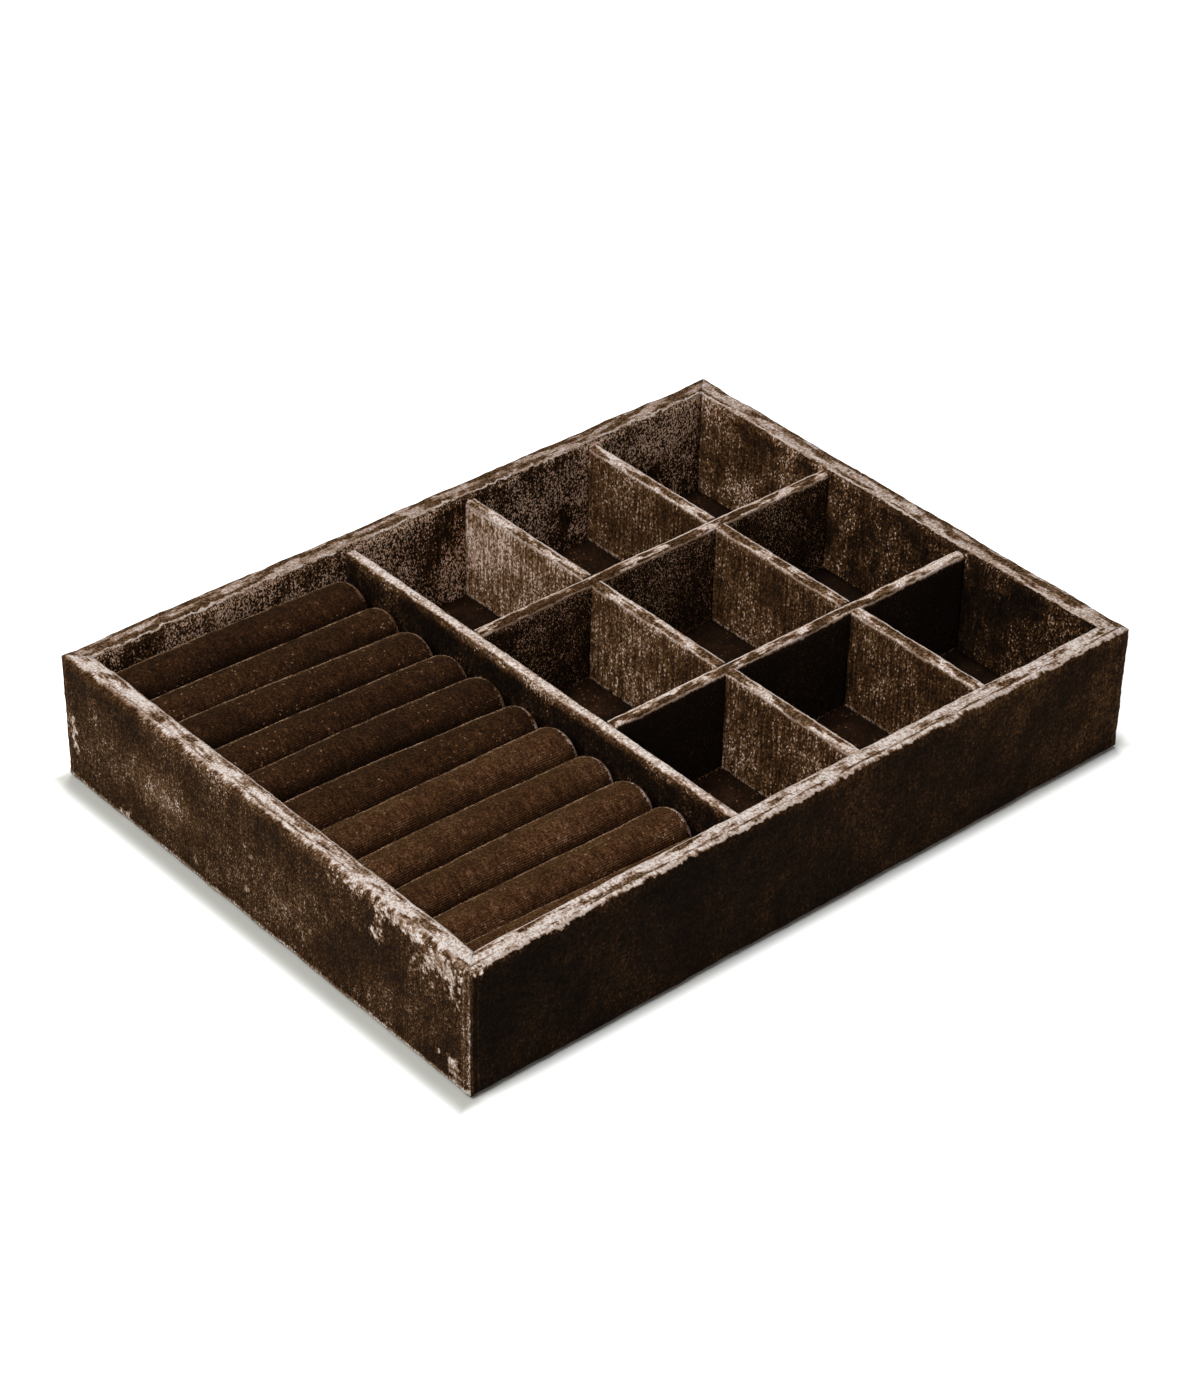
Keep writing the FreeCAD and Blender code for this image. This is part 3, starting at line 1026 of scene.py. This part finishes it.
# %% Lay the floor velvet
floor_cuts = 99
low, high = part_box("floor_velvet")
floor_velvet = start_sheet("floor_cloth", high.x - low.x, high.y - low.y, (0, 0, high.z - tiny))
pick_all()
bpy.ops.mesh.subdivide(number_cuts=floor_cuts)
bpy.ops.object.mode_set(mode="OBJECT")
lay_map(floor_velvet, lambda co: (co.x, co.y + tray_width))
ruffle(floor_velvet, ripple=0.0002, tuft=0.0002, thickness=0.0006)
floor_finish = plain_velvet("plain velvet floor", level=11.0, front_level=10.5, mottle=1.0, row_weight=0.2,
                            groove=0.0, fleck=0.4, gain=2.0, top_cast=(1.08, 0.98, 0.95, 1.0))
hand_over(floor_velvet, "floor_velvet", "tray", floor_finish)

# %% [markdown]
# ## Ring rolls
# A ring roll is a foam bar with a round top in a velvet sleeve, and rings are pushed into the grooves
# between. The section is half a circle on two straight legs. It is drawn once, extruded along the roll and
# copied, and then each copy settles a little differently, as the rolls of a hand-made insert do.

# %% Draw one roll
foam_easing = 0.0012
circle_steps = 48


def draw_section(name, x, half, top, bottom):
    """Half a circle on two legs, standing at x across the roll."""
    spring = top - half
    bpy.ops.object.select_all(action="DESELECT")
    bpy.ops.mesh.primitive_circle_add(vertices=circle_steps, radius=half, rotation=(0, math.pi / 2, 0),
                                      location=(x, 0, spring))
    piece = start_piece(name)
    pick("VERT", lambda vertex: vertex.co.z < spring - tiny)
    bpy.ops.mesh.delete(type="VERT")
    pick("VERT", lambda vertex: vertex.co.z < spring + tiny)
    extrude((0, 0, bottom - spring))
    return piece


def draw_sleeve(name, x_low, x_high, half, top, bottom):
    """The section extruded along X, open below and at both ends."""
    piece = draw_section(name, x_low, half, top, bottom)
    pick_all()
    extrude((x_high - x_low, 0, 0))
    split(lambda a, b: abs(a.x - b.x) > tiny, x_high - x_low)
    split(lambda a, b: abs(a.z - b.z) > 4 * cell, top - half - bottom)
    pick_all()
    bpy.ops.mesh.normals_make_consistent(inside=False)
    bpy.ops.object.mode_set(mode="OBJECT")
    spring = top - half
    lay_map(piece, lambda co: (co.x, half * math.atan2(co.y, co.z - spring) if co.z > spring
                               else math.copysign(half * math.pi / 2 + spring - co.z, co.y)))
    return piece


def draw_foam(name, x_low, x_high, half, top, bottom):
    """The section closed below, extruded along X, with its two ends closed and eased."""
    piece = draw_section(name, x_low, half, top, bottom)
    pick_all()
    bpy.ops.mesh.edge_face_add()
    extrude((x_high - x_low, 0, 0))
    pick_all()
    bpy.ops.mesh.normals_make_consistent(inside=False)
    for end in (x_low, x_high):
        pick_edges(lambda a, b: max(abs(a.x - end), abs(b.x - end)) < tiny)
        bpy.ops.mesh.bevel(offset=foam_easing, segments=2, affect="EDGES", clamp_overlap=True)
    split(lambda a, b: abs(a.x - b.x) > 10 * cell, (x_high - x_low) / 3)
    bpy.ops.object.mode_set(mode="OBJECT")
    return piece


print("foam ends eased by", foam_easing, "m")

# %% [markdown]
# ### How the rolls settle
# The lists give, in millimetres, how far each roll stands above or below its drawn height at its two ends,
# and how far each of the ten grooves wanders there. They are read from the rolls' outlines.

# %% Settle the rolls
rise_left = (1.0, -0.8, 2.4, 0.6, 2.2, 0.8, 0.8, 0.2, 0.0, -0.6, 0.0)
rise_right = (-1.2, -2.4, -3.2, -2.4, -1.6, -2.8, -1.6, -2.4, -1.8, -1.0, -4.4)
wander_left = (0.4, -0.5, 0.6, -0.4, 0.5, -0.3, 0.4, -0.5, 0.3, 0.2)
wander_right = (-0.5, 0.3, -0.6, 0.5, -0.2, 0.6, -0.5, 0.4, -0.4, -0.3)
millimetre = 0.001
sway_waves = 5.0
sway_step = 1.7
sway_height = 0.3
droop_power = 1.6
pinched_end = 0.045
pinch_width = 0.10
pinch_drop = 0.0016


def groove_sway(groove, share):
    """How many millimetres a groove wanders at a share of its length. None lies past the outer rolls."""
    if not 0 <= groove < len(wander_left):
        return 0.0
    ease = share * share * (3 - 2 * share)
    drift = wander_left[groove] + (wander_right[groove] - wander_left[groove]) * ease
    return drift + math.sin(share * sway_waves + groove * sway_step) * sway_height


def settle(piece, number, y_back, y_front, x_low, x_high, top, bottom):
    """Move a roll from the drawing at Y = 0 to its place, leaning and sagging as its lists say."""
    width = y_back - y_front
    for vertex in piece.data.vertices:
        share = (vertex.co.x - x_low) / (x_high - x_low)
        level = (vertex.co.z - bottom) / (top - bottom)
        across = (vertex.co.y + width / 2) / width
        sway = groove_sway(number, share) * (1 - across) + groove_sway(number - 1, share) * across
        droop = max(share, 0.0) ** droop_power
        rise = rise_left[number] + (rise_right[number] - rise_left[number]) * droop
        pinch = max(0.0, (share - 1 + pinched_end) / pinched_end) ** 2
        vertex.co.y = vertex.co.y * (1 - pinch_width * pinch) + (y_back + y_front) / 2 + sway * millimetre
        vertex.co.z += rise * millimetre * level - pinch_drop * pinch * level


print(len(wander_left), "grooves between", len(rise_left), "rolls")

# %% Make the sleeves and the foam
smooth_below = math.radians(40)
roll_finish = plain_velvet("plain velvet rolls", level=25.5, front_level=39.8, mottle=0.5, row_weight=0.5,
                           groove=0.34, fleck=0.8, gain=0.95, top_cast=(1.02, 1.02, 0.98, 1.0), tips=0.85,
                           cut_end=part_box("ring_roll_01_velvet")[1].x)
foam_finish, start = new_finish("open foam")
place = object_place(start)
cells = place.node("ShaderNodeTexVoronoi", {}, {"Vector": place, "Scale": 1400.0}, "Distance")
blotch = noise(place, (120, 120, 120))
foam_colour = tint(ramp(cells, 0.1, 0.6) * 0.7 + blotch * 0.3, colour(58, 52, 47), colour(120, 110, 101))
close_finish(start, surface(start, foam_colour, 0.95, {"Normal": bumps(start, cells, 0.8, 0.0004),
                                                       "Specular IOR Level": 0.1}))

roll_names = sorted(name[:-7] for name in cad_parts
                    if name.startswith("ring_roll") and name.endswith("_velvet"))
drawn = {}
for number, roll_name in enumerate(roll_names):
    for part in ("velvet", "foam"):
        node = roll_name + "_" + part
        low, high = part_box(node)
        half = (high.y - low.y) / 2
        key = (part, round(half, 4))
        if key not in drawn:
            draw = draw_sleeve if part == "velvet" else draw_foam
            drawn[key] = draw("drawn_" + part, low.x, high.x, half, high.z, low.z)
        bpy.ops.object.select_all(action="DESELECT")
        drawn[key].select_set(True)
        bpy.context.view_layer.objects.active = drawn[key]
        bpy.ops.object.duplicate(linked=False)
        piece = bpy.context.object
        piece.name = roll_name + ("_sleeve" if part == "velvet" else "_core")
        settle(piece, number, high.y, low.y, low.x, high.x, high.z, low.z)
        if part == "velvet":
            ruffle(piece, ripple=0.0006, tuft=0.0003, thickness=0.0005)
            hand_over(piece, node, "ring_insert", roll_finish)
        else:
            bpy.ops.object.shade_smooth_by_angle(angle=smooth_below)
            hand_over(piece, node, "ring_insert", foam_finish)
for pattern in drawn.values():
    bpy.data.objects.remove(pattern)

# %% [markdown]
# ## Felt under the base
# A felt keeps the base from scratching. It is glued inside the turned-under velvet and over its edge, so it
# is thin at the margin and thicker in the middle: a flat block whose upper face is inset and raised.

# %% Felt
low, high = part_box("underside_felt")
margin = 0.0008
felt_easing = 0.0003
over_velvet = turn_under - 0.0049
bpy.ops.object.select_all(action="DESELECT")
bpy.ops.mesh.primitive_cube_add(size=1, calc_uvs=False, location=(0, 0, margin / 2))
bpy.context.object.scale = (high.x - low.x, high.y - low.y, margin)
felt = start_piece("felt_pad")
pick("FACE", lambda face: face.normal.z > 0.5)
bpy.ops.mesh.inset(thickness=over_velvet)
extrude((0, 0, high.z - margin))
pick_edges(lambda a, b: abs(a.z - b.z) < tiny and max(a.z, b.z) < tiny)
bpy.ops.mesh.bevel(offset=felt_easing, segments=2, affect="EDGES")
pick_all()
bpy.ops.mesh.subdivide(number_cuts=6)
bpy.ops.object.mode_set(mode="OBJECT")
bpy.ops.object.shade_smooth_by_angle(angle=smooth_below)
felt_finish, start = new_finish("felt")
place = object_place(start)
fuzz = noise(place, (900, 900, 900), 3.0, 0.65)
blotch = noise(place, (60, 60, 60))
felt_colour = tint(fuzz * 0.7 + blotch * 0.3, colour(58, 46, 38), colour(104, 86, 72))
close_finish(start, surface(start, felt_colour, 0.96, {"Normal": bumps(start, fuzz, 0.6, 0.0004),
                                                       "Specular IOR Level": 0.1, "Sheen Weight": 0.2}))
hand_over(felt, "underside_felt", "tray", felt_finish)

# %% [markdown]
# ## Boards and cards
# The boards keep their CAD shape. Fibreboard has a fine brown felted grain, and greyboard is pressed from
# grey paper with darker and paler flecks. Both patterns are set on the piece's own coordinates.

# %% Board and card finishes
def board_finish(name, shade, tip, grain_stretch, fleck_stretch):
    """A dry pressed board: fine grain over soft blotches, with flecks."""
    finish, start = new_finish(name)
    place = object_place(start)
    grain = noise(place, grain_stretch, 3.0, 0.6)
    blotch = noise(place, (45, 45, 45), 3.0, 0.5)
    flecks = ramp(noise(place, fleck_stretch, 1.0, 0.5), 0.62, 0.72)
    shades = tint(grain * 0.6 + blotch * 0.4, shade, tip)
    shades = tint(flecks * 0.4, shades, shade)
    normal = bumps(start, grain, 0.3, 0.0002)
    close_finish(start, surface(start, shades, 0.75 + grain * 0.2, {"Normal": normal}))
    return finish


fibreboard = board_finish("fibreboard", colour(142, 112, 78), colour(196, 166, 126), (700, 700, 700),
                          (420, 420, 420))
greyboard = board_finish("greyboard", colour(132, 128, 120), colour(184, 180, 172), (600, 600, 600),
                         (350, 900, 350))
for node_name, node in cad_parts.items():
    if node_name.endswith("_board"):
        finish = fibreboard
    elif node_name.endswith("_card"):
        finish = greyboard
    else:
        continue
    for slot in node.material_slots:
        slot.material = finish
    print(node_name, finish.name)
